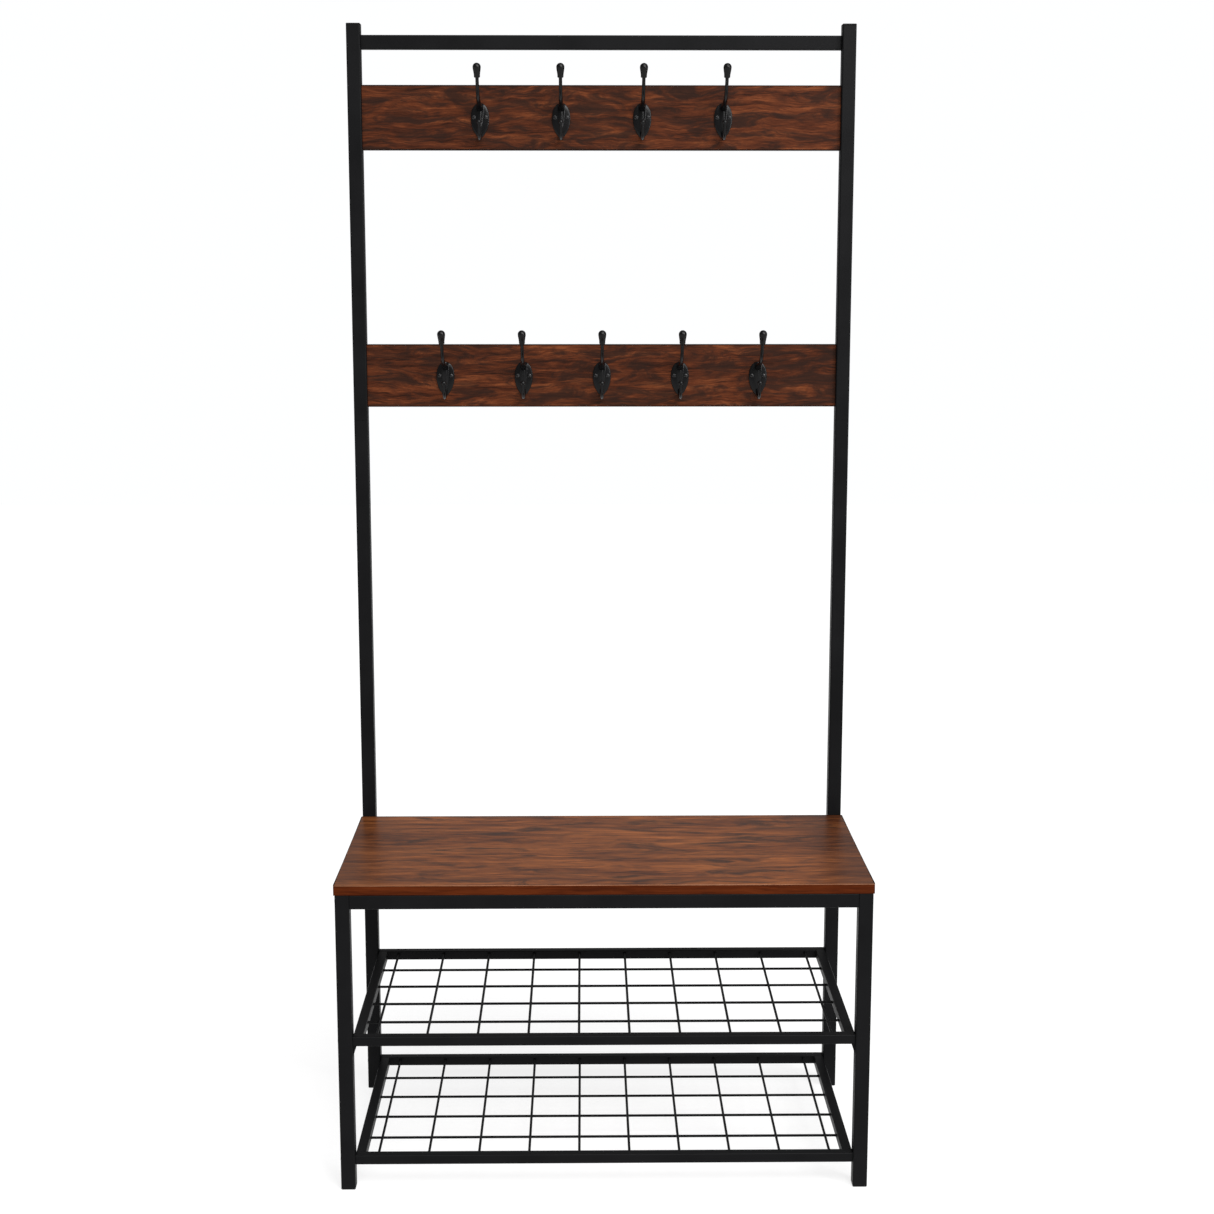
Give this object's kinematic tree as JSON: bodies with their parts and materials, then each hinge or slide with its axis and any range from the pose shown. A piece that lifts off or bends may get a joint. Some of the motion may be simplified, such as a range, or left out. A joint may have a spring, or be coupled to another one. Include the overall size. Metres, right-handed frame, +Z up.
{
  "type": "hall tree with hooks",
  "caption": "Free-standing entryway hall tree: square steel tube frame with a wooden bench seat, two wire shoe shelves below and two wooden boards of coat hooks above.",
  "frame": {"origin": "on the floor, under the middle of the frame's width and depth", "axes": "+X from the left post to the right post seen from the front, -Y towards the user in front, +Z up"},
  "size_m": [0.803, 0.4, 1.76],
  "materials": {
    "frame_steel": "satin black powder coat",
    "coated_wire": "satin black powder coat",
    "rustic_laminate": "dark reddish brown wood-grain laminate, satin",
    "hook_casting": "semi-gloss black enamel on cast metal",
    "black_plastic": "matte black moulded plastic",
    "black_fastener": "black oxide",
    "plated_steel": "zinc plated"
  },
  "bodies": {
    "root": {"apron_bolts": "black_fastener", "barrel_nuts": "plated_steel", "foot_glide_front_left": "black_plastic", "foot_glide_front_right": "black_plastic", "foot_glide_rear_left": "black_plastic", "foot_glide_rear_right": "black_plastic", "front_leg_left": "frame_steel", "front_leg_right": "frame_steel", "hook_board_bolts": "black_fastener", "hook_board_lower": "rustic_laminate", "hook_board_upper": "rustic_laminate", "hook_lower_1": "hook_casting", "hook_lower_2": "hook_casting", "hook_lower_3": "hook_casting", "hook_lower_4": "hook_casting", "hook_lower_5": "hook_casting", "hook_screws_lower": "black_fastener", "hook_screws_upper": "black_fastener", "hook_upper_1": "hook_casting", "hook_upper_2": "hook_casting", "hook_upper_3": "hook_casting", "hook_upper_4": "hook_casting", "lower_shelf_cross_wires": "coated_wire", "lower_shelf_long_wires": "coated_wire", "lower_shelf_rail_front": "frame_steel", "lower_shelf_rail_left": "frame_steel", "lower_shelf_rail_rear": "frame_steel", "lower_shelf_rail_right": "frame_steel", "middle_post_left": "frame_steel", "middle_post_right": "frame_steel", "post_cap_left": "black_plastic", "post_cap_right": "black_plastic", "post_sleeve_left": "plated_steel", "post_sleeve_right": "plated_steel", "rail_end_plugs": "plated_steel", "rear_leg_left": "frame_steel", "rear_leg_right": "frame_steel", "seat_apron_front": "frame_steel", "seat_apron_left": "frame_steel", "seat_apron_rear": "frame_steel", "seat_apron_right": "frame_steel", "seat_board": "rustic_laminate", "seat_screws": "plated_steel", "seat_sleeve_left": "plated_steel", "seat_sleeve_right": "plated_steel", "seat_tabs": "frame_steel", "shelf_bolts": "black_fastener", "sleeve_screws": "black_fastener", "top_rail": "frame_steel", "top_rail_bolts": "black_fastener", "upper_post_left": "frame_steel", "upper_post_right": "frame_steel", "upper_shelf_cross_wires": "coated_wire", "upper_shelf_long_wires": "coated_wire", "upper_shelf_lugs": "frame_steel", "upper_shelf_rail_front": "frame_steel", "upper_shelf_rail_left": "frame_steel", "upper_shelf_rail_rear": "frame_steel", "upper_shelf_rail_right": "frame_steel"}
  },
  "joints": []
}
